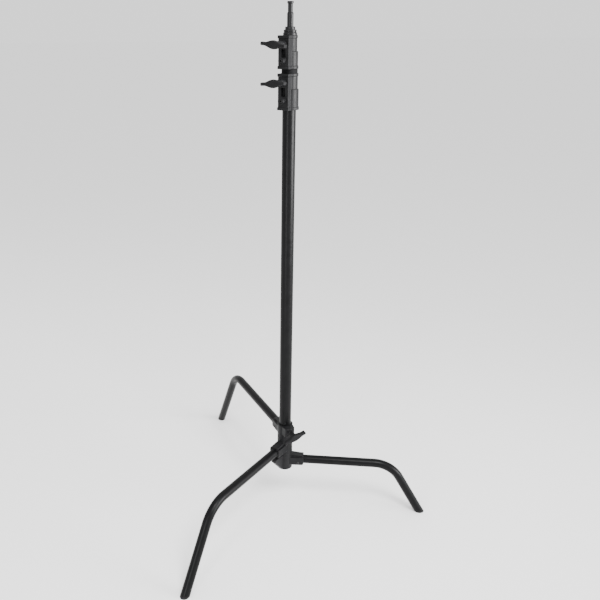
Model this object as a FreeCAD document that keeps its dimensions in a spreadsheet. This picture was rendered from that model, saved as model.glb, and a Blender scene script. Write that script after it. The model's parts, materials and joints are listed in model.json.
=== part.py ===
import FreeCAD, Part
import math
import os
import re
import Sketcher
from FreeCAD import Placement, Rotation, Vector

# A studio C-stand: three bent legs on castings that turn about a sleeve, a column that lifts out
# of the sleeve, and two risers that slide out of the column, each held by a split collar with a
# T-handle.  Millimetres, +Z up, the floor at z = 0 and the column's axis on the Z axis.  The low
# leg points along +X, the high leg lies 120 degrees from it and the middle leg 240 degrees.

DIMENSIONS = [
    # legs
    ("leg_radius", 12.7), ("leg_wall", 1.5), ("leg_start", 25), ("leg_bend_radius", 88),
    ("leg_drop_angle", 60), ("foot_head", 5), ("foot_shank", 22),
    ("height_low", 160), ("height_middle", 208), ("height_high", 256),
    ("corner_low", 318), ("corner_middle", 348), ("corner_high", 378),
    ("azimuth_low", 0), ("azimuth_middle", 240), ("azimuth_high", 120),
    # leg castings
    ("ring_radius", 22.5), ("ring_half", 23.5), ("swing_gap", 0.1), ("arm_end", 57),
    ("arm_root", 8), ("arm_half_root", 17.5), ("arm_half_mouth", 16), ("arm_below", 16.5),
    ("arm_ledge", 12), ("rib_crest", 20), ("rib_top_root", 19.3), ("rib_top_mouth", 15.2),
    ("rib_end_gap", 2), ("arm_rib_half", 10.5), ("arm_corner", 2.5), ("arm_belly", 9),
    ("rivet_radius", 2.2), ("rivet_place", 40), ("rivet_drop", 5.5), ("rivet_reach", 1.6),
    ("rivet_head", 1.2), ("casting_foot", 28), ("counterbore_radius", 20.5), ("counterbore", 8),
    ("foot_edge", 1.6), ("high_rim", 25), ("tail_azimuth", 240), ("tail_half", 7),
    ("tail_reach", 60), ("tail_start", 25.5), ("tail_tip", 16),
    # sleeve that the castings turn on
    ("sleeve_radius", 17), ("sleeve_bore", 14.45), ("sleeve_bottom", 133.5), ("sleeve_top", 278),
    ("lock_boss_radius", 10.2), ("lock_boss_face", 40), ("lock_height", 267.5),
    ("lock_block_back", 10), ("lock_block_front", 34), ("lock_block_half_back", 18),
    ("lock_block_half_front", 14.5), ("lock_block_below", 14), ("lock_block_height", 27),
    ("lock_boss_root", 25), ("lock_block_corner", 4), ("clip_groove_low", 135.5),
    ("clip_groove_high", 137.2), ("clip_groove_depth", 0.8), ("clip_play", 0.1),
    ("spring_top", 139.8), ("washer_height", 0.9), ("hub_cap_bottom", 132.2),
    ("hub_cap_edge", 133), ("hub_cap_top", 143),
    # column and risers
    ("stud_radius", 14.29), ("stud_bottom", 190), ("column_radius", 17.5), ("column_bottom", 281.2),
    ("column_top", 1246), ("middle_radius", 15), ("middle_bottom", 325.3), ("middle_top", 1335.7),
    ("top_radius", 12.5), ("top_bottom", 372.3), ("top_top", 1378), ("tube_wall", 1.5),
    ("running_gap", 0.1), ("bush_wall", 1.5), ("stud_plug", 16), ("stud_chamfer", 1.5),
    ("pin_radius", 2.5), ("pin_bore", 1.2), ("pin_inset", 0.3), ("pin_rise", 8),
    ("pin_azimuth", 270),
    ("guide_bore", 8), ("guide_nose", 17), ("middle_guide_low", 300), ("top_guide_low", 350),
    # collars
    ("lower_collar_bottom", 1198), ("lower_collar_top", 1287), ("lower_collar_step", 1248.5),
    ("lower_collar_small", 21), ("lower_collar_large", 23.5),
    ("upper_collar_bottom", 1297.5), ("upper_collar_top", 1377), ("upper_collar_step", 1339),
    ("upper_collar_small", 18), ("upper_collar_large", 20.6),
    ("collar_azimuth", 240), ("block_half", 15.3), ("block_face", 29.3), ("boss_face", 40.4),
    ("pocket_half", 6.3), ("pocket_floor", 19.4), ("lip_height", 7), ("lip_proud", 1.3),
    ("clamp_boss_radius", 8), ("screw_boss_radius", 8), ("bush_step", 2.5),
    ("liner_slot", 1.2), ("liner_setback", 0.4),
    ("lower_clamp_height", 1266), ("lower_screw_height", 1221.5), ("upper_clamp_height", 1356.3),
    ("upper_screw_height", 1317.5), ("lower_pocket_bottom", 1231.5), ("lower_pocket_top", 1253),
    ("upper_pocket_bottom", 1325.8), ("upper_pocket_top", 1344.6),
    ("bumper_radius", 20.3), ("bumper_height", 10.2), ("bumper_edge", 0.8),
    # T-handles and screws
    ("clamp_screw_radius", 4), ("lock_screw_radius", 5), ("hole_gap", 0.3), ("thread_gap", 0.05),
    ("clamp_handle_reach", 31.6), ("lock_handle_reach", 23), ("handle_half", 34.5),
    ("handle_tip", 4.1), ("handle_wing", 9), ("handle_wing_rise", 0.2), ("handle_shoulder", 15),
    ("handle_shoulder_half", 7.6), ("handle_crown", 7), ("handle_crown_drop", 0.6),
    ("handle_hub_radius", 10.5), ("handle_tip_depth", 7.5), ("handle_corner", 1.2),
    ("handle_stem_radius", 8.2), ("handle_washer", 1.4), ("handle_washer_width", 4),
    ("washer_play", 0.1), ("screw_end_depth", 6), ("screw_end_chamfer", 0.8),
    ("socket_screw_radius", 3), ("socket_head_radius", 5), ("socket_head_height", 6),
    ("socket_seat_depth", 6.3), ("socket_key", 5), ("socket_key_depth", 3.4), ("socket_edge", 0.6),
    ("tip_gap", 0.1),
    # spigot on the top riser
    ("spigot_radius", 7.94), ("spigot_neck_radius", 6.15), ("spigot_flange_radius", 12.5),
    ("spigot_top", 1455), ("spigot_rim", 1450), ("spigot_neck", 1430), ("spigot_foot", 1396.5),
    ("spigot_bottom", 1340), ("cap_bottom", 1377.3), ("cap_waist", 1383), ("cap_top", 1389.5),
    ("cap_radius", 17.4), ("cap_neck_radius", 16), ("cap_groove_low", 0.3),
    ("cap_groove_high", 1.6), ("cap_groove_depth", 0.6), ("spigot_shoulder", 1.8),
]
Z_AXIS = Vector(0, 0, 1)
RIVET_LENGTH = "arm_half_mouth - leg_radius + rivet_reach"
RIVET_PROUD = 0.5
# Turn of each T-handle about its screw, in degrees from level.
LOWER_TILT, UPPER_TILT, LOCK_TILT = 3.5, -5.5, 18

doc = FreeCAD.newDocument("c_stand")
sizes = doc.addObject("Spreadsheet::Sheet", "sizes")
for row, (alias, number) in enumerate(DIMENSIONS, start=1):
    sizes.set(f"A{row}", alias)
    sizes.set(f"B{row}", str(number))
    sizes.setAlias(f"B{row}", alias)
doc.recompute()

ALIAS_PLACES = {alias: "sizes." + alias for alias, _ in DIMENSIONS}
SUBPARTS = []


def value(expression):
    """Work out an expression of spreadsheet aliases, in millimetres or degrees."""
    return float(sizes.evalExpression(str(expression)))


def bound(expression):
    """Rewrite an expression of aliases so that other objects can use it."""
    return re.sub(r"[a-z_]+", lambda word: ALIAS_PLACES.get(word[0], word[0]), str(expression))


def bind(item, **properties):
    for name, expression in properties.items():
        item.setExpression(name.replace("__", "."), bound(expression))
    return item


def keep(item, node, height="0", azimuth=None):
    """Name a finished sub-part and put it at its height and azimuth about the column."""
    item.Label = node
    turn = 0 if azimuth is None else value(azimuth)
    item.Placement = Placement(Vector(0, 0, value(height)), Rotation(Z_AXIS, turn))
    bind(item, Placement__Base__z=height)
    SUBPARTS.append(item)
    return item


def keep_on_axis(item, node, azimuth, height, turn=0):
    """Place a sub-part that was made about Z on a level axis along an azimuth, spun on that axis."""
    item.Label = node
    quarter = Rotation(Vector(0, 1, 0), 90)
    swing = Rotation(Z_AXIS, value(azimuth))
    spin = Rotation(Z_AXIS, turn)
    item.Placement = Placement(Vector(0, 0, value(height)), swing * quarter * spin)
    bind(item, Placement__Base__z=height)
    SUBPARTS.append(item)
    return item


# ---- sketches and features -------------------------------------------------------------------

def origin_plane(body, role):
    return next(item for item in body.Origin.OriginFeatures if item.Role == role)


def new_body(name):
    return doc.addObject("PartDesign::Body", name)


def new_sketch(body, name, role="XY_Plane", offset="0", turn=0):
    """A sketch on an origin plane; a turn swings it about the sketch's own upward axis."""
    sketch = body.newObject("Sketcher::SketchObject", name)
    sketch.AttachmentSupport = [(origin_plane(body, role), "")]
    sketch.MapMode = "FlatFace"
    sketch.AttachmentOffset = Placement(Vector(), Rotation(Vector(0, 1, 0), turn))
    bind(sketch, AttachmentOffset__Base__z=offset)
    return sketch


def pin_point(sketch, geometry, end, across, along):
    """Fix one point of a sketch at a place worked out from the spreadsheet."""
    for kind, expression, axis in (("DistanceX", across, -2), ("DistanceY", along, -1)):
        if str(expression) == "0":
            sketch.addConstraint(Sketcher.Constraint("PointOnObject", geometry, end, axis))
        else:
            number = value(expression)
            index = sketch.addConstraint(Sketcher.Constraint(kind, -1, 1, geometry, end, number))
            sketch.setExpression(f"Constraints[{index}]", bound(expression))


def outline(body, name, corners, role="XY_Plane", offset="0", turn=0):
    """A closed sketch of straight edges through corners given as spreadsheet expressions."""
    sketch = new_sketch(body, name, role, offset, turn)
    points = [Vector(value(across), value(along), 0) for across, along in corners]
    count = len(points)
    for index in range(count):
        edge = Part.LineSegment(points[index], points[(index + 1) % count])
        sketch.addGeometry(edge, False)
    for index in range(count):
        joined = Sketcher.Constraint("Coincident", index, 2, (index + 1) % count, 1)
        sketch.addConstraint(joined)
    for index, (across, along) in enumerate(corners):
        pin_point(sketch, index, 1, across, along)
    return sketch


def circles(body, name, rounds, role="XY_Plane", offset="0"):
    """A sketch of circles, each given as radius, across and along."""
    sketch = new_sketch(body, name, role, offset)
    for index, (radius, across, along) in enumerate(rounds):
        centre = Vector(value(across), value(along), 0)
        sketch.addGeometry(Part.Circle(centre, Vector(0, 0, 1), value(radius)), False)
        pin_point(sketch, index, 3, across, along)
        size = sketch.addConstraint(Sketcher.Constraint("Radius", index, value(radius)))
        sketch.setExpression(f"Constraints[{size}]", bound(radius))
    return sketch


def pad(body, sketch, length, both_ways=False):
    feature = body.newObject("PartDesign::Pad", sketch.Name + "_pad")
    feature.Profile = sketch
    feature.Midplane = both_ways
    return bind(feature, Length=length)


def cut(body, sketch, depth, both_ways=False, backwards=False):
    """A pocket, checked to take material away."""
    doc.recompute()
    before = body.Shape.Volume
    feature = body.newObject("PartDesign::Pocket", sketch.Name + "_cut")
    feature.Profile = sketch
    feature.Midplane = both_ways
    feature.Reversed = backwards
    bind(feature, Length=depth)
    doc.recompute()
    if body.Shape.Volume > before - 0.01:
        raise RuntimeError(f"{feature.Name} takes nothing away")
    return feature


def turned(name, profile):
    """A body turned about Z from a half section given as radius and height."""
    body = new_body(name)
    sketch = outline(body, name + "_section", profile, "XZ_Plane")
    feature = body.newObject("PartDesign::Revolution", name + "_turning")
    feature.Profile = sketch
    feature.ReferenceAxis = (sketch, ["V_Axis"])
    feature.Angle = 360
    return body


def rounded(body, radius, chosen):
    """Round every edge of a body that chosen(edge) picks."""
    doc.recompute()
    last = body.Tip
    names = [f"Edge{index}" for index, edge in enumerate(last.Shape.Edges, start=1) if chosen(edge)]
    if not names:
        raise RuntimeError(f"no edge of {body.Name} to round")
    feature = body.newObject("PartDesign::Fillet", f"{body.Name}_fillet_{len(names)}")
    feature.Base = (last, names)
    bind(feature, Radius=radius)
    doc.recompute()
    if not feature.Shape.isValid() or "Invalid" in feature.State:
        raise RuntimeError(f"{feature.Name} failed")
    return feature


def curve_kind(edge):
    """The kind of curve an edge lies on; a pole's edge has none."""
    try:
        return edge.Curve.TypeId
    except TypeError:
        return "none"


def upright(edge):
    """True for a straight edge that runs along Z."""
    if curve_kind(edge) != "Part::GeomLine":
        return False
    return abs(edge.tangentAt(edge.FirstParameter).z) > 0.999


def round_at(edge, radius, along, place, tolerance=0.05):
    """True for a circular edge of a radius whose centre lies at a place along X, Y or Z."""
    if curve_kind(edge) != "Part::GeomCircle":
        return False
    centre = getattr(edge.Curve.Center, along)
    return abs(edge.Curve.Radius - radius) < tolerance and abs(centre - place) < tolerance


# ---- legs ------------------------------------------------------------------------------------

def leg_path(body, name, height, corner):
    """The bent centreline: level from the casting, one arc, and a straight drop to the floor.

    Drawn in the XZ plane with z = 0 on the leg's axis, so the floor is at z = -height.
    """
    sketch = new_sketch(body, name, "XZ_Plane")
    drop = math.radians(value("leg_drop_angle"))
    radius = value("leg_bend_radius")
    tangent = radius * math.tan(drop / 2)
    level_end = Vector(value(corner) - tangent, 0, 0)
    centre = level_end - Vector(0, radius, 0)
    bend_end = centre + Vector(radius * math.sin(drop), radius * math.cos(drop), 0)
    reach = (value(height) + bend_end.y + value("leg_radius")) / math.sin(drop)
    floor_end = bend_end + Vector(math.cos(drop), -math.sin(drop), 0) * reach
    start = Vector(value("leg_start"), 0, 0)
    arc = Part.ArcOfCircle(Part.Circle(centre, Z_AXIS, radius), math.pi / 2 - drop, math.pi / 2)
    sketch.addGeometry(Part.LineSegment(start, level_end), False)
    sketch.addGeometry(arc, False)
    sketch.addGeometry(Part.LineSegment(bend_end, floor_end), False)
    pin_point(sketch, 0, 1, "leg_start", "0")
    sketch.addConstraint(Sketcher.Constraint("Horizontal", 0))
    sketch.addConstraint(Sketcher.Constraint("Tangent", 0, 2, 1, 2))
    sketch.addConstraint(Sketcher.Constraint("Tangent", 1, 1, 2, 1))
    size = sketch.addConstraint(Sketcher.Constraint("Radius", 1, radius))
    sketch.setExpression(f"Constraints[{size}]", bound("leg_bend_radius"))
    level = f"{corner} - leg_bend_radius * tan(leg_drop_angle * 1deg / 2)"
    place = sketch.addConstraint(Sketcher.Constraint("DistanceX", -1, 1, 0, 2, level_end.x))
    sketch.setExpression(f"Constraints[{place}]", bound(level))
    sketch.addConstraint(Sketcher.Constraint("DistanceX", -1, 1, 2, 2, floor_end.x))
    sketch.addConstraint(Sketcher.Constraint("DistanceY", -1, 1, 2, 2, floor_end.y))
    return sketch


def leg_bar(name, height, corner, radii):
    """A bent bar or tube: one radius makes a bar, two make a tube."""
    body = new_body(name)
    path = leg_path(body, name + "_path", height, corner)
    rounds = [(radius, "0", "0") for radius in radii]
    section = circles(body, name + "_section", rounds, "YZ_Plane", "leg_start")
    pipe = body.newObject("PartDesign::AdditivePipe", name + "_pipe")
    pipe.Profile = section
    pipe.Spine = (path, ["Edge1", "Edge2", "Edge3"])
    pipe.Transition = "Transformed"
    doc.recompute()
    return body


def slab(name, low, high, reach="corner_high * 2"):
    """A wide flat block between two heights."""
    block = doc.addObject("Part::Box", name)
    bind(block, Length=reach, Width=reach, Height=f"{high} - ( {low} )")
    bind(block, Placement__Base__x="0", Placement__Base__y=f"0 - {reach} / 2", Placement__Base__z=low)
    return block


def common(name, first, second):
    both = doc.addObject("Part::Common", name)
    both.Base = first
    both.Tool = second
    return both


def make_leg(which):
    height = f"height_{which}"
    corner = f"corner_{which}"
    azimuth = f"azimuth_{which}"
    tube = leg_bar(f"tube_{which}", height, corner, ["leg_radius", "leg_radius - leg_wall"])
    above_foot = slab(f"above_foot_{which}", f"foot_head - {height}", "leg_radius * 2")
    keep(common(f"leg_{which}", tube, above_foot), f"leg_tube_{which}", height, azimuth)

    bar = leg_bar(f"foot_bar_{which}", height, corner, ["leg_radius"])
    head_slab = slab(f"head_slab_{which}", f"0 - {height}", f"foot_head - {height}")
    head = common(f"head_{which}", bar, head_slab)
    core = leg_bar(f"foot_core_{which}", height, corner, ["leg_radius - leg_wall"])
    shank_slab = slab(f"shank_slab_{which}", f"foot_head - {height}",
                      f"foot_head + foot_shank - {height}")
    shank = common(f"shank_{which}", core, shank_slab)
    plug = doc.addObject("Part::MultiFuse", f"plug_{which}")
    plug.Shapes = [head, shank]
    plug.Refine = True
    keep(plug, f"foot_plug_{which}", height, azimuth)


# ---- leg castings ----------------------------------------------------------------------------

def casting_body(which, below, above):
    """The ring and the arm of a leg casting, with z = 0 on the leg's axis and the arm along +X."""
    body = new_body(f"casting_{which}")
    ring = circles(body, f"ring_{which}", [("ring_radius", "0", "0")], offset=f"0 - {below}")
    pad(body, ring, f"{below} + {above}")
    sides = [("arm_root", "0 - arm_half_root"), ("arm_end", "0 - arm_half_mouth"),
             ("arm_end", "arm_half_mouth"), ("arm_root", "arm_half_root")]
    arm = outline(body, f"arm_{which}", sides, offset="0 - arm_below")
    pad(body, arm, "arm_below + arm_ledge")
    rib_side = [("arm_root", "arm_ledge - 1"), ("arm_end - rib_end_gap", "arm_ledge - 1"),
                ("arm_end - rib_end_gap", "rib_top_mouth"), ("rib_crest", "rib_top_root"),
                ("arm_root", "rib_top_root")]
    rib = outline(body, f"rib_{which}", rib_side, "XZ_Plane")
    pad(body, rib, "arm_rib_half * 2", both_ways=True)
    return body


def soften_arm(body):
    """Round the arm's upright corners at the mouth and the long edges under it."""
    mouth = value("arm_end") - 3

    def under(edge):
        low = abs(edge.BoundBox.ZMax + value("arm_below")) < 0.01
        return low and edge.BoundBox.XMax > mouth and curve_kind(edge) == "Part::GeomLine"

    def at_mouth(edge):
        return upright(edge) and edge.BoundBox.XMin > mouth

    rounded(body, "arm_corner", at_mouth)
    rounded(body, "arm_belly", under)


def bore_casting(body, which, sleeve_hole, low, high):
    """The bore for the sleeve, the blind socket for the tube and the rivets' cross hole."""
    bore = circles(body, f"bore_{which}", [(sleeve_hole, "0", "0")], offset=low)
    cut(body, bore, f"{high} - ( {low} )", backwards=True)
    socket = circles(body, f"socket_{which}", [("leg_radius", "0", "0")], "YZ_Plane", "leg_start")
    cut(body, socket, "arm_end", backwards=True)
    cross = [("rivet_radius", "rivet_place", "0 - rivet_drop")]
    rivets = circles(body, f"rivet_hole_{which}", cross, "XZ_Plane")
    cut(body, rivets, "arm_half_root * 3", both_ways=True)


def add_tail(body):
    """The low casting's tail: a web that rises outward from the ring, under the middle leg."""
    side = [("sleeve_radius", "0 - tail_start"), ("ring_radius", "0 - tail_start"),
            ("tail_reach", "tail_tip"), ("tail_reach", "ring_half"), ("sleeve_radius", "ring_half")]
    web = outline(body, "tail", side, "XZ_Plane", turn=value("tail_azimuth"))
    pad(body, web, "tail_half * 2", both_ways=True)


def make_casting_swinging(which, below, tail=False):
    body = casting_body(which, below, "ring_half")
    if tail:
        add_tail(body)
    soften_arm(body)
    bore_casting(body, which, "sleeve_radius + swing_gap", f"0 - {below}", "ring_half")
    return body


def make_casting_high():
    """The top casting: it holds the sleeve, stops it at a lip, and carries the locking boss."""
    body = casting_body("high", "ring_half", "high_rim")
    lock = "lock_height - height_high"
    sides = [("0 - lock_block_back", "0 - lock_block_half_back"),
             ("0 - lock_block_back", "lock_block_half_back"),
             ("0 - lock_block_front", "lock_block_half_front"),
             ("0 - lock_block_front", "0 - lock_block_half_front")]
    block = outline(body, "lock_block", sides, offset=f"{lock} - lock_block_below")
    pad(body, block, "lock_block_height")
    ring = circles(body, "lock_boss", [("lock_boss_radius", "0", lock)], "YZ_Plane",
                   "0 - lock_boss_root")
    pad(body, ring, "lock_boss_face - lock_boss_root").Reversed = True
    soften_arm(body)
    front = 1 - value("lock_block_front")
    rounded(body, "lock_block_corner", lambda edge: upright(edge) and edge.BoundBox.XMax < front)
    bore_casting(body, "high", "sleeve_radius", "0 - ring_half", "sleeve_top - height_high")
    mouth = circles(body, "receiver_mouth", [("sleeve_bore + hole_gap", "0", "0")], offset="0")
    cut(body, mouth, "high_rim + 1", backwards=True)
    thread = circles(body, "lock_thread", [("lock_screw_radius + thread_gap", "0", lock)],
                     "YZ_Plane", "0 - sleeve_bore")
    cut(body, thread, "lock_boss_face")
    return body


def make_castings():
    high = make_casting_high()
    keep(high, "leg_socket_high", "height_high", "azimuth_high")
    middle = make_casting_swinging("middle", "ring_half")
    keep(middle, "leg_socket_middle", "height_middle", "azimuth_middle")
    low = make_casting_swinging("low", "casting_foot", tail=True)
    spring_seat = [("counterbore_radius", "0", "0")]
    seat = circles(low, "spring_seat", spring_seat, offset="0 - casting_foot")
    cut(low, seat, "counterbore", backwards=True)
    foot = value("casting_foot")
    rounded(low, "foot_edge", lambda edge: round_at(edge, value("ring_radius"), "z", -foot))
    keep(low, "leg_socket_low", "height_low", "azimuth_low")


def make_rivets(which):
    """Two half-tubular rivets, one from each flank of the arm into the leg's tube wall."""
    group = doc.addObject("Part::MultiFuse", f"rivet_pair_{which}")
    parts = []
    for side, sign in (("left", 1), ("right", -1)):
        shank = doc.addObject("Part::Cylinder", f"shank_{which}_{side}")
        bind(shank, Radius="rivet_radius", Height=RIVET_LENGTH)
        head = doc.addObject("Part::Cone", f"head_{which}_{side}")
        bind(head, Radius1="rivet_radius + rivet_reach", Radius2="rivet_radius + rivet_reach - 1",
             Height="rivet_head")
        # The arm narrows toward its mouth, so its flank is a little proud of the mouth's there.
        flank = value("arm_half_mouth") + RIVET_PROUD
        spin = Rotation(Vector(1, 0, 0), -90 * sign)
        place = Vector(value("rivet_place"), 0, -value("rivet_drop"))
        shank.Placement = Placement(place + Vector(0, sign * (flank - value(RIVET_LENGTH)), 0), spin)
        head.Placement = Placement(place + Vector(0, sign * flank, 0), spin)
        parts.extend([shank, head])
    group.Shapes = parts
    group.Refine = True
    keep(group, f"leg_rivets_{which}", f"height_{which}", f"azimuth_{which}")


# ---- the sleeve's own parts ------------------------------------------------------------------

def make_hub():
    groove = "sleeve_radius - clip_groove_depth"
    sleeve = turned("sleeve", [
        ("sleeve_bore", "sleeve_bottom"), ("sleeve_radius", "sleeve_bottom"),
        ("sleeve_radius", "clip_groove_low"), (groove, "clip_groove_low"),
        (groove, "clip_groove_high"), ("sleeve_radius", "clip_groove_high"),
        ("sleeve_radius", "sleeve_top"), ("sleeve_bore", "sleeve_top")])
    hole = circles(sleeve, "sleeve_lock_hole", [("lock_screw_radius + hole_gap", "0", "lock_height")],
                   "YZ_Plane", "0 - sleeve_bore / 2")
    cut(sleeve, hole, "sleeve_radius")
    keep(sleeve, "hub_sleeve", "0", "azimuth_high")

    for name, top in (("upper", "height_high - ring_half"), ("lower", "height_middle - ring_half")):
        rim = "ring_radius - 0.6"
        washer = turned(f"washer_{name}", [
            ("sleeve_radius", f"{top} - washer_height"), (rim, f"{top} - washer_height"),
            (rim, f"{top} - swing_gap"), ("sleeve_radius", f"{top} - swing_gap")])
        keep(washer, f"thrust_washer_{name}")

    ring = turned("clip", [
        (groove, "clip_groove_low + clip_play"),
        ("counterbore_radius - 0.5", "clip_groove_low + clip_play"),
        ("counterbore_radius - 0.5", "clip_groove_high - clip_play"),
        (groove, "clip_groove_high - clip_play")])
    keep(ring, "retaining_ring")

    # The wave spring fills the small space between the clip and the low casting.
    spring = turned("wave", [
        ("sleeve_radius + 0.2", "clip_groove_high"), ("counterbore_radius - 0.6", "clip_groove_high"),
        ("counterbore_radius - 0.6", "spring_top"), ("sleeve_radius + 0.2", "spring_top")])
    keep(spring, "wave_spring")

    plug = turned("plug", [
        ("0", "hub_cap_bottom"), ("sleeve_radius - 1", "hub_cap_bottom"),
        ("sleeve_radius", "hub_cap_edge"), ("sleeve_radius", "sleeve_bottom"),
        ("sleeve_bore", "sleeve_bottom"), ("sleeve_bore", "hub_cap_top"), ("0", "hub_cap_top")])
    keep(plug, "hub_cap")


# ---- column and risers -----------------------------------------------------------------------

def tube_body(name, radius, low, high):
    return turned(name, [
        (f"{radius} - tube_wall", low), (radius, low), (radius, high), (f"{radius} - tube_wall", high)])


def make_guide(node, bore, inside, tube_bottom, low):
    """A bush that fills the outer tube, with a shouldered nose inside the tube that it carries."""
    shoulder = f"{tube_bottom} - hole_gap"
    nose = f"{tube_bottom} + guide_nose"
    body = turned(node + "_bush", [
        ("guide_bore", low), (f"{bore} - running_gap - 1", low),
        (f"{bore} - running_gap", f"{low} + 1"), (f"{bore} - running_gap", shoulder),
        (f"{inside} - running_gap", shoulder), (f"{inside} - running_gap", nose),
        ("guide_bore", nose)])
    keep(body, node)


def make_column():
    tube = tube_body("column", "column_radius", "column_bottom", "column_top")
    stud = turned("stud", [
        ("0", "stud_bottom"), ("stud_radius - stud_chamfer", "stud_bottom"),
        ("stud_radius", "stud_bottom + stud_chamfer"), ("stud_radius", "column_bottom"),
        ("column_radius - tube_wall", "column_bottom"),
        ("column_radius - tube_wall", "column_bottom + stud_plug"),
        ("0", "column_bottom + stud_plug")])
    pin_place = [("pin_radius", "0", "column_bottom + pin_rise")]
    pin_hole = circles(stud, "stud_pin_hole", pin_place, "XZ_Plane")
    cut(stud, pin_hole, "column_radius * 3", both_ways=True)
    keep(stud, "column_stud")
    wall_hole = circles(tube, "column_pin_hole", pin_place, "XZ_Plane")
    cut(tube, wall_hole, "column_radius * 3", both_ways=True)
    keep(tube, "column_tube")
    pin = turned("cross_pin", [
        ("pin_bore", "pin_inset - column_radius"), ("pin_radius", "pin_inset - column_radius"),
        ("pin_radius", "column_radius - pin_inset"), ("pin_bore", "column_radius - pin_inset")])
    keep_on_axis(pin, "column_stud_pin", "pin_azimuth", "column_bottom + pin_rise")


def make_risers():
    for which, outer in (("middle", "column_radius"), ("top", "middle_radius")):
        radius, bottom = f"{which}_radius", f"{which}_bottom"
        keep(tube_body(f"riser_{which}", radius, bottom, f"{which}_top"), f"riser_{which}_tube")
        make_guide(f"riser_{which}_guide", f"{outer} - tube_wall", f"{radius} - tube_wall",
                   bottom, f"{which}_guide_low")


# ---- collars ---------------------------------------------------------------------------------

def collar_section(body, name, radius, proud, low, depth):
    """One height of the collar: a round barrel and the flat-faced block in front, along +X."""
    ring = circles(body, f"{name}_barrel", [(f"{radius} + {proud}", "0", "0")], offset=low)
    pad(body, ring, depth)
    half, face = f"block_half + {proud}", f"block_face + {proud}"
    sides = [("0", f"0 - ( {half} )"), (face, f"0 - ( {half} )"), (face, half), ("0", half)]
    block = outline(body, f"{name}_block", sides, offset=low)
    pad(body, block, depth)


def boss(body, name, height, radius):
    """A round boss that stands out of the block's face, for a screw that points at the axis."""
    ring = circles(body, name, [(radius, "0", height)], "YZ_Plane", "block_face - 1")
    pad(body, ring, "boss_face - block_face + 1")


def bore_along_x(body, name, height, radius, low, high):
    """A round hole from one distance from the column's axis to another."""
    ring = circles(body, name, [(radius, "0", height)], "YZ_Plane", low)
    cut(body, ring, f"{high} - ( {low} )", backwards=True)


def make_collar(which, inner_tube):
    """A die-cast collar, made with its block and its two screws along +X."""
    body = new_body(f"collar_{which}_casting")
    low = f"{which}_collar_bottom"
    high = f"{which}_collar_top"
    step = f"{which}_collar_step"
    small = f"{which}_collar_small"
    large = f"{which}_collar_large"
    clamp = f"{which}_clamp_height"
    screw = f"{which}_screw_height"
    outer_tube = "column_radius" if which == "lower" else "middle_radius"

    collar_section(body, f"{which}_base", large, "0", low, f"{step} - {low}")
    collar_section(body, f"{which}_neck", small, "0", step, f"{high} - {step}")
    collar_section(body, f"{which}_foot_lip", large, "lip_proud", low, "lip_height")
    collar_section(body, f"{which}_head_lip", small, "lip_proud", f"{high} - lip_height", "lip_height")
    boss(body, f"{which}_clamp_boss", clamp, "clamp_boss_radius")
    boss(body, f"{which}_screw_boss", screw, "screw_boss_radius")

    # The recess between the two bosses leaves a thin wall around the tube.
    bottom, top = f"{which}_pocket_bottom", f"{which}_pocket_top"
    recess = outline(body, f"{which}_recess", [
        ("0 - pocket_half", bottom), ("pocket_half", bottom), ("pocket_half", top),
        ("0 - pocket_half", top)], "YZ_Plane", "pocket_floor")
    cut(body, recess, "block_face - pocket_floor + 5", backwards=True)
    tube_hole = circles(body, f"{which}_tube_hole", [(outer_tube, "0", "0")], offset=low)
    cut(body, tube_hole, f"{step} - {low} - bush_step", backwards=True)
    bush_hole = circles(body, f"{which}_bush_hole",
                        [(f"{inner_tube} + running_gap + bush_wall", "0", "0")], offset=low)
    cut(body, bush_hole, f"{high} - {low}", backwards=True)
    bore_along_x(body, f"{which}_clamp_thread", clamp, "clamp_screw_radius + thread_gap",
                 "0", "boss_face + 1")
    bore_along_x(body, f"{which}_screw_thread", screw, "socket_screw_radius + thread_gap",
                 "0", "boss_face + 1")
    bore_along_x(body, f"{which}_head_seat", screw, "socket_head_radius + hole_gap",
                 "boss_face - socket_seat_depth", "boss_face + 1")
    return keep(body, f"collar_{which}", "0", "collar_azimuth")


def make_bush(which, inner_tube):
    """The thin split liner that the T-screw squeezes onto the sliding tube."""
    low = f"{which}_collar_step - bush_step"
    high = f"{which}_collar_top - liner_setback"
    inside = f"{inner_tube} + running_gap"
    body = turned(f"bush_{which}", [
        (inside, low), (f"{inside} + bush_wall", low), (f"{inside} + bush_wall", high),
        (inside, high)])
    near, far = f"{inner_tube} / 2", f"{inner_tube} * 2"
    slot = [(near, "0 - liner_slot"), (far, "0 - liner_slot"), (far, "liner_slot"), (near, "liner_slot")]
    split = outline(body, f"bush_{which}_slot", slot, offset=f"{low} - 1")
    cut(body, split, f"{high} - ( {low} ) + 2", backwards=True)
    # The split faces away from the T-screw.
    keep(body, f"collar_{which}_bush", "0", "collar_azimuth + 180")


def make_socket_screw(node, height, outer_tube):
    """A hexagon socket screw whose end meets the outer tube and whose head sits in its boss."""
    tail = f"{outer_tube} + tip_gap"
    seat = "boss_face - socket_seat_depth"
    crown = f"{seat} + socket_head_height"
    body = turned(node + "_body", [
        ("0", tail), ("socket_screw_radius", tail), ("socket_screw_radius", seat),
        ("socket_head_radius", seat), ("socket_head_radius", f"{crown} - socket_edge"),
        ("socket_head_radius - socket_edge", crown), ("0", crown)])
    corner = "socket_key / sqrt(3)"
    corners = [(f"{corner} * cos({angle}deg)", f"{corner} * sin({angle}deg)")
               for angle in range(0, 360, 60)]
    key = outline(body, node + "_key", corners, offset=f"{crown} - socket_key_depth")
    cut(body, key, "socket_key_depth + 1", backwards=True)
    keep_on_axis(body, node, "collar_azimuth", height)


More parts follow.
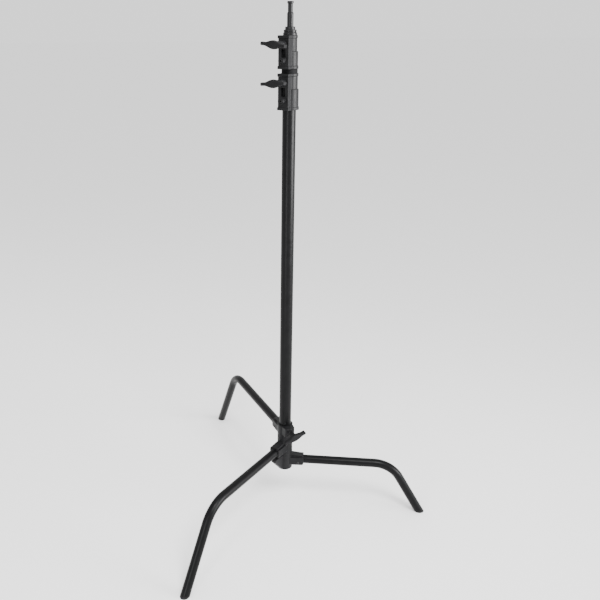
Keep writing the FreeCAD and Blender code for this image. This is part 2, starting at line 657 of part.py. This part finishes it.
def make_bumper():
    low, high = "lower_collar_top", "lower_collar_top + bumper_height"
    body = turned("bumper", [
        ("middle_radius + hole_gap", low), ("bumper_radius - bumper_edge", low),
        ("bumper_radius", f"{low} + bumper_edge"), ("bumper_radius", f"{high} - bumper_edge"),
        ("bumper_radius - bumper_edge", high), ("middle_radius + hole_gap", high)])
    keep(body, "bumper_ring")


# ---- T-handles -------------------------------------------------------------------------------

def make_handle(node, azimuth, height, boss_face, reach, screw_radius, tail, turn):
    """A cast T-handle on its own screw and washer, made about Z with its bar along X."""
    stem_start = f"{boss_face} + handle_washer"
    centre = f"{boss_face} + {reach}"
    body = turned(node + "_casting", [
        (screw_radius, stem_start), ("handle_stem_radius - handle_crown_drop", stem_start),
        ("handle_stem_radius", f"{stem_start} + handle_crown_drop"), ("handle_stem_radius", centre),
        (screw_radius, centre)])
    upper_side = [("handle_half", "handle_tip"),
                  ("handle_half - handle_wing", "handle_tip - handle_wing_rise"),
                  ("handle_shoulder", "handle_shoulder_half"),
                  ("handle_crown", "handle_hub_radius - handle_crown_drop")]
    quarter = upper_side + [("0", "handle_hub_radius")]
    mirrored = [(f"0 - ( {across} )", along) for across, along in reversed(upper_side)]
    top_edge = quarter + mirrored
    half_bar = top_edge + [(across, f"0 - ( {along} )") for across, along in reversed(top_edge)]
    bar = outline(body, node + "_bar", half_bar, offset=f"{centre} - handle_tip_depth")
    pad(body, bar, "handle_tip_depth * 2")
    core = circles(body, node + "_core", [(screw_radius, "0", "0")], offset=stem_start)
    cut(body, core, f"{reach} - screw_end_depth", backwards=True)
    wing_end = value("handle_half") - 0.1
    rounded(body, "handle_corner", lambda edge: upright(edge) and abs(edge.BoundBox.XMin) > wing_end)
    keep_on_axis(body, node, azimuth, height, turn)

    head = f"{stem_start} + {reach} - screw_end_depth"
    screw = turned(node + "_thread", [
        ("0", tail), (f"{screw_radius} - screw_end_chamfer", tail),
        (screw_radius, f"{tail} + screw_end_chamfer"), (screw_radius, head), ("0", head)])
    keep_on_axis(screw, node + "_screw", azimuth, height)

    washer_back, rim = f"{boss_face} + washer_play", f"{screw_radius} + handle_washer_width"
    washer = turned(node + "_ring", [
        (screw_radius, washer_back), (rim, washer_back), (rim, stem_start), (screw_radius, stem_start)])
    keep_on_axis(washer, node + "_washer", azimuth, height)


def make_handles():
    for which, inner_tube, turn in (("lower", "middle_radius", 90 + LOWER_TILT),
                                    ("upper", "top_radius", 90 + UPPER_TILT)):
        make_handle(f"handle_{which}", "collar_azimuth", f"{which}_clamp_height", "boss_face",
                    "clamp_handle_reach", "clamp_screw_radius",
                    f"{inner_tube} + running_gap + bush_wall + tip_gap", turn)
    make_handle("handle_base", "azimuth_high + 180", "lock_height", "lock_boss_face",
                "lock_handle_reach", "lock_screw_radius", "stud_radius + 0.5", 90 + LOCK_TILT)


# ---- top of the stand ------------------------------------------------------------------------

def make_top():
    groove = "cap_neck_radius - cap_groove_depth"
    cap = turned("cap", [
        ("top_radius", "cap_bottom"), ("cap_radius", "cap_bottom"), ("cap_radius", "cap_waist - 0.8"),
        ("cap_radius - 0.8", "cap_waist"), (groove, "cap_waist + cap_groove_low"),
        (groove, "cap_waist + cap_groove_high"),
        ("cap_neck_radius", "cap_waist + cap_groove_high + cap_groove_depth"),
        ("cap_neck_radius", "cap_top - 0.7"), ("cap_neck_radius - 0.7", "cap_top"),
        ("top_radius - tube_wall", "cap_top"), ("top_radius - tube_wall", "top_top"),
        ("top_radius", "top_top")])
    keep(cap, "riser_top_cap")

    spigot = turned("pin", [
        ("0", "spigot_bottom"), ("top_radius - tube_wall - 1", "spigot_bottom"),
        ("top_radius - tube_wall", "spigot_bottom + 1"), ("top_radius - tube_wall", "cap_top"),
        ("spigot_flange_radius", "cap_top"), ("spigot_flange_radius", "spigot_foot - 0.8"),
        ("spigot_flange_radius - 0.8", "spigot_foot"), ("spigot_radius", "spigot_foot"),
        ("spigot_radius", "spigot_neck - spigot_shoulder"), ("spigot_neck_radius", "spigot_neck"),
        ("spigot_neck_radius", "spigot_rim - 1"), ("spigot_radius", "spigot_rim"),
        ("spigot_radius", "spigot_top - 0.8"), ("spigot_radius - 0.8", "spigot_top"),
        ("0", "spigot_top")])
    keep(spigot, "spigot")


# ---- build, check and write ------------------------------------------------------------------

for leg in ("high", "middle", "low"):
    make_leg(leg)
    make_rivets(leg)
make_castings()
make_hub()
make_column()
make_risers()
make_collar("lower", "middle_radius")
make_collar("upper", "top_radius")
make_bush("lower", "middle_radius")
make_bush("upper", "top_radius")
make_socket_screw("collar_lower_screw", "lower_screw_height", "column_radius")
make_socket_screw("collar_upper_screw", "upper_screw_height", "middle_radius")
make_bumper()
make_handles()
make_top()
doc.recompute()

problems = []
for item in doc.Objects:
    if "Invalid" in item.State or "Error" in item.State:
        problems.append(f"{item.Label}: {item.State}")
for item in SUBPARTS:
    if item.Shape.isNull() or not item.Shape.isValid():
        problems.append(f"{item.Label}: bad shape")
if problems:
    raise RuntimeError("; ".join(problems))

os.makedirs("parts", exist_ok=True)
for item in SUBPARTS:
    item.Shape.exportStep(os.path.join("parts", item.Label + ".step"))
    box = item.Shape.BoundBox
    print(f"{item.Label:28s} solids {len(item.Shape.Solids)} volume {item.Shape.Volume:10.1f} "
          f"z {box.ZMin:8.2f} {box.ZMax:8.2f}")
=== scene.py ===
"""Looks of a studio C-stand: cast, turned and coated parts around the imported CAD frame."""

import json
import math

import bmesh
import bpy
from mathutils import Matrix, Vector


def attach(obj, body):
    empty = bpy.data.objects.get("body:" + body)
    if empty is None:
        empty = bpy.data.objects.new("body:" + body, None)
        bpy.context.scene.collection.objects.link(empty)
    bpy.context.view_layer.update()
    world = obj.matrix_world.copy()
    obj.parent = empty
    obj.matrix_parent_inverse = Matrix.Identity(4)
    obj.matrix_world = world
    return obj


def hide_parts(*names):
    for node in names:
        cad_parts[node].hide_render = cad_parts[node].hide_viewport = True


MM = 0.001

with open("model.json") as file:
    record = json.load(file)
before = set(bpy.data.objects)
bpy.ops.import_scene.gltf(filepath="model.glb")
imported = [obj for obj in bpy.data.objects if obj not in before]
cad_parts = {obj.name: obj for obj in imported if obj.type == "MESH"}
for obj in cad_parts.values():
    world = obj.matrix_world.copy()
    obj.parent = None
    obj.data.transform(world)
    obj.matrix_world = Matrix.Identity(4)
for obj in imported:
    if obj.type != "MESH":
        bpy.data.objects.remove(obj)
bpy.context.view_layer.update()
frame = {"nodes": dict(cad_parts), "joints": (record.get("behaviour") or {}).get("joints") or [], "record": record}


# ---- camera ----------------------------------------------------------------------------------

CAMERA_PLACE = Vector((0.0937, -1.8041, 1.4128))
CAMERA_HEADING = 96.76      # azimuth of the view, degrees from +X
CAMERA_PITCH = 19.62        # degrees below level
CAMERA_ROLL = -0.54
CAMERA_SENSOR = 36          # mm
CAMERA_LENS = 41.86         # mm
CAMERA_SHIFT = (0.0940, -0.0523)
CAMERA_CLIP = (0.01, 50)    # nearest and farthest distance seen, metres


def make_camera():
    """The camera, turned from its heading, pitch and roll into a right-handed frame."""
    heading = math.radians(CAMERA_HEADING)
    pitch = math.radians(CAMERA_PITCH)
    roll = math.radians(CAMERA_ROLL)
    flat = math.cos(pitch)
    forward = Vector((math.cos(heading) * flat, math.sin(heading) * flat, -math.sin(pitch)))
    level = Vector((math.sin(heading), -math.cos(heading), 0))
    above = level.cross(forward)
    right = math.cos(roll) * level + math.sin(roll) * above
    top = -math.sin(roll) * level + math.cos(roll) * above
    data = bpy.data.cameras.new("camera")
    data.sensor_width = CAMERA_SENSOR
    data.lens = CAMERA_LENS
    data.shift_x, data.shift_y = CAMERA_SHIFT
    data.clip_start, data.clip_end = CAMERA_CLIP
    camera = bpy.data.objects.new("camera", data)
    turn = Matrix((right, top, -forward)).transposed().to_4x4()
    camera.matrix_world = Matrix.Translation(CAMERA_PLACE) @ turn
    bpy.context.scene.collection.objects.link(camera)
    bpy.context.scene.camera = camera


# ---- light and floor -------------------------------------------------------------------------

SKY = 1.4
FLOOR_SIZE = 300            # metres, so that its far edge melts into the sky
FLOOR_GAP = 0.4 * MM        # keeps the floor clear of the feet


def aim(thing, place, target):
    """Put a light in its place and turn it to its target."""
    direction = Vector(target) - Vector(place)
    thing.location = place
    thing.rotation_euler = direction.to_track_quat("-Z", "Y").to_euler()


def area_light(name, place, target, size, power, spread=180):
    """A soft box; a small spread keeps its beam close to where it is aimed, like a grid."""
    data = bpy.data.lights.new(name, "AREA")
    data.shape = "RECTANGLE"
    data.size, data.size_y = size
    data.energy = power
    data.spread = math.radians(spread)
    light = bpy.data.objects.new(name, data)
    bpy.context.scene.collection.objects.link(light)
    aim(light, place, target)


def around(azimuth, distance, height):
    """A place around the column's axis: degrees from +X, metres out and up."""
    turn = math.radians(azimuth)
    return (distance * math.cos(turn), distance * math.sin(turn), height)


def make_lights():
    """A broad soft box to the right, a narrow one left of the camera and one high in front."""
    area_light("key", around(-13, 2.6, 1.3), (0, 0, 1.3), (1.9, 2.0), 56, spread=60)
    area_light("fill", around(-112, 2.6, 0.9), (0, 0, 0.9), (0.4, 1.8), 32)
    area_light("front", around(-60, 2.0, 3.0), (0, 0, 1.1), (1.0, 1.0), 130)
    world = bpy.data.worlds.new("studio")
    bpy.context.scene.world = world
    world.use_nodes = True
    sky = world.node_tree.nodes["Background"]
    sky.inputs["Color"].default_value = (1, 1, 1, 1)
    sky.inputs["Strength"].default_value = SKY


def make_floor():
    """A wide white floor, as bright as the sky, so that no horizon shows."""
    bpy.ops.mesh.primitive_plane_add(size=FLOOR_SIZE, location=(0, 0, -FLOOR_GAP))
    floor = bpy.context.object
    floor.name = "floor"
    floor.data.materials.append(plain("floor_white", grey(0.98), 0.9))


# ---- materials -------------------------------------------------------------------------------

def new_material(name):
    """A material with nodes, and its nodes and links."""
    material = bpy.data.materials.new(name)
    material.use_nodes = True
    return material, material.node_tree.nodes, material.node_tree.links


def plain(name, colour, roughness):
    """A matt surface of one colour, with no reflection."""
    material, nodes, _ = new_material(name)
    shader = nodes["Principled BSDF"]
    shader.inputs["Base Color"].default_value = (*colour, 1)
    shader.inputs["Roughness"].default_value = roughness
    shader.inputs["Specular IOR Level"].default_value = 0
    return material


def noise(nodes, links, scale, detail, stretch=(1, 1, 1)):
    """Noise on the object's own coordinates; scale is in features per metre."""
    place = nodes.new("ShaderNodeTexCoord")
    mapping = nodes.new("ShaderNodeMapping")
    mapping.inputs["Scale"].default_value = stretch
    pattern = nodes.new("ShaderNodeTexNoise")
    pattern.inputs["Scale"].default_value = scale
    pattern.inputs["Detail"].default_value = detail
    links.new(place.outputs["Object"], mapping.inputs["Vector"])
    links.new(mapping.outputs["Vector"], pattern.inputs["Vector"])
    return pattern.outputs["Fac"]


def ramp(nodes, links, source, low, high, start=0.3, end=0.7):
    """Map a 0 to 1 pattern onto a run between two greys or two colours."""
    steps = nodes.new("ShaderNodeValToRGB")
    steps.color_ramp.elements[0].position = start
    steps.color_ramp.elements[1].position = end
    steps.color_ramp.elements[0].color = (*low, 1)
    steps.color_ramp.elements[1].color = (*high, 1)
    links.new(source, steps.inputs["Fac"])
    return steps.outputs["Color"]


def grey(level):
    """A neutral colour."""
    return (level, level, level)


WORN_FROM, WORN_FULL = 0.6, 0.66        # pointiness where wear starts and where it is complete
PATCH_FROM, PATCH_FULL = 0.5, 0.62      # the same for the patchy noise that breaks it up
PATCH_SCALE, PATCH_DETAIL = 220, 6


def edge_wear(nodes, links, base, worn):
    """Blend a worn colour in at convex edges, broken up by patchy noise."""
    shape = nodes.new("ShaderNodeNewGeometry")
    edges = ramp(nodes, links, shape.outputs["Pointiness"], grey(0), grey(1), WORN_FROM, WORN_FULL)
    patchy = noise(nodes, links, PATCH_SCALE, PATCH_DETAIL)
    patches = ramp(nodes, links, patchy, grey(0), grey(1), PATCH_FROM, PATCH_FULL)
    both = nodes.new("ShaderNodeMath")
    both.operation = "MULTIPLY"
    links.new(edges, both.inputs[0])
    links.new(patches, both.inputs[1])
    mix = nodes.new("ShaderNodeMixRGB")
    links.new(both.outputs[0], mix.inputs["Fac"])
    links.new(base, mix.inputs["Color1"])
    mix.inputs["Color2"].default_value = (*worn, 1)
    return mix.outputs["Color"]


def bumps(nodes, links, shader, layers):
    """Chain bump layers: scale, detail, strength, height in metres and stretch of the noise."""
    last = None
    for scale, detail, strength, height, stretch in layers:
        bump = nodes.new("ShaderNodeBump")
        bump.inputs["Strength"].default_value = strength
        bump.inputs["Distance"].default_value = height
        links.new(noise(nodes, links, scale, detail, stretch), bump.inputs["Height"])
        if last is not None:
            links.new(last, bump.inputs["Normal"])
        last = bump.outputs["Normal"]
    links.new(last, shader.inputs["Normal"])


# Scale and detail of the noise in a coat's colour and gloss, and in a metal's.
COAT_COLOUR, COAT_GLOSS = (45, 5), (90, 6)
METAL_COLOUR, METAL_GLOSS = (160, 6), (300, 5)
MOTTLE = 0.25               # how far a coat's colour strays from its mean, as a share of it
COAT_ROUGH = (0.85, 1.15)   # lowest and highest roughness of a coat, as shares of its mean
METAL_ROUGH = (0.8, 1.25)
METAL_DARK = 0.8            # darkest stretch of bare metal, as a share of its colour


def gloss_map(nodes, links, pattern, rough, spread):
    """A noise pattern of roughness between two shares of its mean."""
    low, high = spread
    return ramp(nodes, links, noise(nodes, links, *pattern), grey(rough * low), grey(rough * high))


def coated(name, colour, rough, shine, layers, worn=None):
    """A painted or moulded surface: mottled colour and gloss, fine texture and rubbed edges."""
    material, nodes, links = new_material(name)
    shader = nodes["Principled BSDF"]
    dark = tuple(channel * (1 - MOTTLE) for channel in colour)
    light = tuple(channel * (1 + MOTTLE) for channel in colour)
    skin = ramp(nodes, links, noise(nodes, links, *COAT_COLOUR), dark, light)
    if worn is not None:
        skin = edge_wear(nodes, links, skin, worn)
    links.new(skin, shader.inputs["Base Color"])
    links.new(gloss_map(nodes, links, COAT_GLOSS, rough, COAT_ROUGH), shader.inputs["Roughness"])
    shader.inputs["Specular IOR Level"].default_value = shine
    bumps(nodes, links, shader, layers)
    return material


def metal(name, colour, rough, layers):
    """Bare metal with turning marks or a plated grain."""
    material, nodes, links = new_material(name)
    shader = nodes["Principled BSDF"]
    shader.inputs["Metallic"].default_value = 1
    dark = tuple(channel * METAL_DARK for channel in colour)
    skin = ramp(nodes, links, noise(nodes, links, *METAL_COLOUR), dark, colour)
    links.new(skin, shader.inputs["Base Color"])
    links.new(gloss_map(nodes, links, METAL_GLOSS, rough, METAL_ROUGH), shader.inputs["Roughness"])
    bumps(nodes, links, shader, layers)
    return material


# Stretch of a bump's noise: even, or drawn out around Z into turning marks.
ROUND = (1, 1, 1)
ALONG_RINGS = (0.06, 0.06, 1)


def make_materials():
    """One material for each material slot of the record."""
    return {
        "tube_black": coated("tube_black", (0.003, 0.003, 0.0033), 0.33, 0.1,
                             [(1400, 3, 0.12, 0.0002, ROUND), (60, 2, 0.05, 0.001, ROUND)]),
        "cast_black": coated("cast_black", (0.007, 0.007, 0.0076), 0.45, 0.12,
                             [(900, 4, 0.3, 0.0003, ROUND), (2600, 2, 0.2, 0.0002, ROUND)],
                             worn=(0.03, 0.03, 0.03)),
        "handle_black": coated("handle_black", (0.006, 0.006, 0.0065), 0.55, 0.1,
                               [(1100, 4, 0.35, 0.0003, ROUND), (3000, 2, 0.2, 0.0002, ROUND)],
                               worn=(0.025, 0.025, 0.025)),
        "foot_plastic": coated("foot_plastic", (0.007, 0.007, 0.007), 0.6, 0.2,
                               [(1800, 3, 0.3, 0.0002, ROUND)]),
        "rubber_black": coated("rubber_black", (0.004, 0.004, 0.0044), 0.7, 0.08,
                               [(1500, 5, 0.4, 0.0003, ROUND)]),
        "turned_steel": metal("turned_steel", (0.25, 0.25, 0.25), 0.3,
                              [(2200, 2, 0.15, 0.0001, ALONG_RINGS)]),
        "turned_black": coated("turned_black", (0.006, 0.006, 0.0066), 0.33, 0.14,
                               [(2400, 2, 0.12, 0.0001, ALONG_RINGS)], worn=(0.05, 0.05, 0.05)),
        "bearing_plastic": coated("bearing_plastic", (0.01, 0.01, 0.01), 0.5, 0.25,
                                  [(1600, 3, 0.2, 0.0002, ROUND)]),
        "plain_steel": metal("plain_steel", (0.3, 0.3, 0.3), 0.35,
                             [(1800, 4, 0.2, 0.0001, ROUND)]),
        "black_oxide": coated("black_oxide", (0.008, 0.008, 0.0085), 0.38, 0.22,
                              [(2000, 3, 0.15, 0.0001, ROUND)], worn=(0.05, 0.05, 0.05)),
    }


def node_slots():
    """The material slot of each CAD node, as the record names them."""
    return {entry["node"]: entry["material_slot"] for entry in frame["record"]["subparts"]}


def dress_nodes(materials):
    """Give every CAD node the material of its slot."""
    for node, slot in node_slots().items():
        piece = frame["nodes"][node]
        if not piece.material_slots:
            piece.data.materials.append(materials[slot])
        for entry in piece.material_slots:
            entry.material = materials[slot]


# ---- castings --------------------------------------------------------------------------------

CAST_VOXEL, CAST_PASSES = 0.5 * MM, 4
HANDLE_VOXEL, HANDLE_PASSES = 0.45 * MM, 5
SMOOTH_FACTOR = 0.5
KEEP_RATIO = 0.35           # share of the even skin's faces that are kept


def apply_modifiers(piece):
    """Bake a piece's modifiers into its mesh."""
    graph = bpy.context.evaluated_depsgraph_get()
    baked = bpy.data.meshes.new_from_object(piece.evaluated_get(graph))
    old = piece.data
    piece.modifiers.clear()
    piece.data = baked
    bpy.data.meshes.remove(old)


def soften(piece, voxel, passes):
    """Turn a sharp solid into a cast one: an even skin, rounded a little at every edge."""
    skin = piece.modifiers.new("skin", "REMESH")
    skin.mode = "VOXEL"
    skin.voxel_size = voxel
    skin.use_smooth_shade = True
    ease = piece.modifiers.new("ease", "SMOOTH")
    ease.factor = SMOOTH_FACTOR
    ease.iterations = passes
    thin = piece.modifiers.new("thin", "DECIMATE")
    thin.ratio = KEEP_RATIO
    apply_modifiers(piece)
    for face in piece.data.polygons:
        face.use_smooth = True


def cast_copy(node, body, material):
    """A cast piece made from a CAD node's own surface, which it stands for."""
    source = frame["nodes"][node]
    mesh = source.data.copy()
    piece = link(node + "_cast", mesh)
    mesh.materials.clear()
    mesh.materials.append(material)
    soften(piece, CAST_VOXEL, CAST_PASSES)
    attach(piece, body)
    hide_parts(node)


# casting's node: the body it moves with
CASTINGS = {
    "leg_socket_high": "base",
    "leg_socket_middle": "leg_middle",
    "leg_socket_low": "leg_low",
    "collar_lower": "column",
    "collar_upper": "riser_middle",
}


def make_castings(materials):
    """The three leg castings and the two collars."""
    for node, body in CASTINGS.items():
        cast_copy(node, body, materials["cast_black"])


# ---- T-handles -------------------------------------------------------------------------------

HANDLE_HALF = 34.5 * MM         # from the screw's axis to a wing's end
HANDLE_TIP = 4.1 * MM           # half the height of a wing at its end
HANDLE_HUB = 10.5 * MM          # half the height over the screw
HANDLE_DEPTH = 7.5 * MM         # half the depth along the screw
HANDLE_STEM = 8.2 * MM          # radius of the stem at its foot
WASHER = 1.4 * MM               # thickness of the washer under the stem
CLAMP_FACE = 40.4 * MM          # from the column's axis to the face of a collar's boss
CLAMP_REACH = 31.6 * MM         # from that face to the middle of the bar
LOCK_FACE = 40 * MM             # the same for the boss of the base lock
LOCK_REACH = 23 * MM
SWELL_END = 0.72                # share of the half length where the hub has run out
SWELL_POWER = 0.8               # under 1, so the hub's shoulders are full
TIP_DEPTH = 0.88                # a wing's depth as a share of the hub's
TIP_SQUARENESS, HUB_SQUARENESS = 4.6, 2.6       # 2 is round, and more is squarer
BAR_STEPS = 36                  # lengths of the bar between its rings
BAR_EDGE = 0.7 * MM             # bevel around a wing's end
BAR_BEVEL = ((0, 0), (0.7, 0.3), (1, 0.9))      # its steps out and in, as shares of BAR_EDGE
STEM_EDGE = 0.9 * MM            # chamfer around the stem's foot
STEM_WAIST_AT = 0.55            # share of the stem's length where it is thinnest
STEM_WAIST, STEM_FLARE = 0.98, 1.1              # its radius there and at the bar, as shares
RING_POINTS = 40

# handle node: body, joint, boss face, reach, tilt of the bar in degrees
HANDLES = {
    "handle_lower": ("lower_handle", "lower_handle_turn", CLAMP_FACE, CLAMP_REACH, -3.5),
    "handle_upper": ("upper_handle", "upper_handle_turn", CLAMP_FACE, CLAMP_REACH, 5.5),
    "handle_base": ("base_handle", "base_handle_turn", LOCK_FACE, LOCK_REACH, -18),
}


def bar_section(along):
    """Half height, half depth and squareness of the bar at a share of its half length."""
    swell = 0.5 + 0.5 * math.cos(math.pi * min(along / SWELL_END, 1))
    height = HANDLE_TIP + (HANDLE_HUB - HANDLE_TIP) * swell ** SWELL_POWER
    depth = HANDLE_DEPTH * (TIP_DEPTH + (1 - TIP_DEPTH) * swell)
    return height, depth, TIP_SQUARENESS - (TIP_SQUARENESS - HUB_SQUARENESS) * swell


def bar_ring(mesh, place, height, depth, squareness):
    """One ring of points around the bar: a rounded square at a place along it."""
    points = []
    power = 2 / squareness
    for step in range(RING_POINTS):
        turn = 2 * math.pi * step / RING_POINTS
        side = math.copysign(abs(math.cos(turn)) ** power, math.cos(turn))
        out = math.copysign(abs(math.sin(turn)) ** power, math.sin(turn))
        points.append(mesh.verts.new((place, height * side, depth * out)))
    return points


def bridge(mesh, rings):
    """Join rings into a closed skin."""
    for first, second in zip(rings, rings[1:]):
        for step in range(len(first)):
            after = (step + 1) % len(first)
            mesh.faces.new((first[step], first[after], second[after], second[step]))
    mesh.faces.new(list(reversed(rings[0])))
    mesh.faces.new(rings[-1])
    bmesh.ops.recalc_face_normals(mesh, faces=mesh.faces)


def finished(mesh, name):
    """Turn a working mesh into mesh data and free it."""
    data = bpy.data.meshes.new(name)
    mesh.to_mesh(data)
    mesh.free()
    return data


def bar_mesh():
    """The bar of the T: a swelling hub that runs out into two squared wings."""
    mesh = bmesh.new()
    rings = []
    for step in range(BAR_STEPS + 1):
        share = -1 + 2 * step / BAR_STEPS
        height, depth, squareness = bar_section(abs(share))
        place = share * (HANDLE_HALF - BAR_EDGE)
        if abs(share) < 1:
            rings.append(bar_ring(mesh, place, height, depth, squareness))
            continue
        end = []
        for outward, inward in BAR_BEVEL:
            end.append(bar_ring(mesh, place + math.copysign(BAR_EDGE * outward, share),
                                height - BAR_EDGE * inward, depth - BAR_EDGE * inward, squareness))
        rings.extend(end if share > 0 else reversed(end))
    bridge(mesh, rings)
    return finished(mesh, "bar")


def stem_mesh(start, end):
    """The round stem between the washer and the bar, flared a little where it meets the bar."""
    mesh = bmesh.new()
    profile = [(start, HANDLE_STEM - STEM_EDGE), (start + STEM_EDGE, HANDLE_STEM),
               (start + STEM_WAIST_AT * (end - start), HANDLE_STEM * STEM_WAIST),
               (end, HANDLE_STEM * STEM_FLARE)]
    rings = []
    for place, radius in profile:
        ring = []
        for step in range(RING_POINTS):
            turn = 2 * math.pi * step / RING_POINTS
            ring.append(mesh.verts.new((radius * math.cos(turn), radius * math.sin(turn), place)))
        rings.append(ring)
    bridge(mesh, rings)
    return finished(mesh, "stem")


def link(name, data):
    """A new object in the scene."""
    piece = bpy.data.objects.new(name, data)
    bpy.context.scene.collection.objects.link(piece)
    return piece


def joint_named(name):
    """A joint of the frame by its name."""
    return next(joint for joint in frame["joints"] if joint["name"] == name)


def handle_place(joint, tilt):
    """The frame of a handle: Z out along its screw, X along its bar."""
    out = Vector(joint["axis"]).normalized()
    level = Vector((out.y, -out.x, 0)).normalized()
    bar = math.cos(math.radians(tilt)) * level + math.sin(math.radians(tilt)) * Vector((0, 0, 1))
    turn = Matrix((bar, out.cross(bar), out)).transposed().to_4x4()
    return Matrix.Translation(Vector(joint["pos_m"])) @ turn


def make_handles(material):
    """Each T-handle: a bar and a stem in one piece, built on its screw's axis."""
    for node, (body, joint_name, face, reach, tilt) in HANDLES.items():
        middle = face + reach
        piece = link(node + "_cast", bar_mesh())
        piece.data.transform(Matrix.Translation((0, 0, middle)))
        stem = link(node + "_stem", stem_mesh(face + WASHER, middle))
        union = piece.modifiers.new("union", "BOOLEAN")
        union.operation = "UNION"
        union.object = stem
        union.solver = "EXACT"
        apply_modifiers(piece)
        bpy.data.objects.remove(stem)
        piece.data.transform(handle_place(joint_named(joint_name), tilt))
        piece.data.materials.clear()
        piece.data.materials.append(material)
        soften(piece, HANDLE_VOXEL, HANDLE_PASSES)
        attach(piece, body)
        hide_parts(node)


# ---- build -----------------------------------------------------------------------------------

make_camera()
make_lights()
make_floor()
materials = make_materials()
dress_nodes(materials)
make_castings(materials)
make_handles(materials["handle_black"])
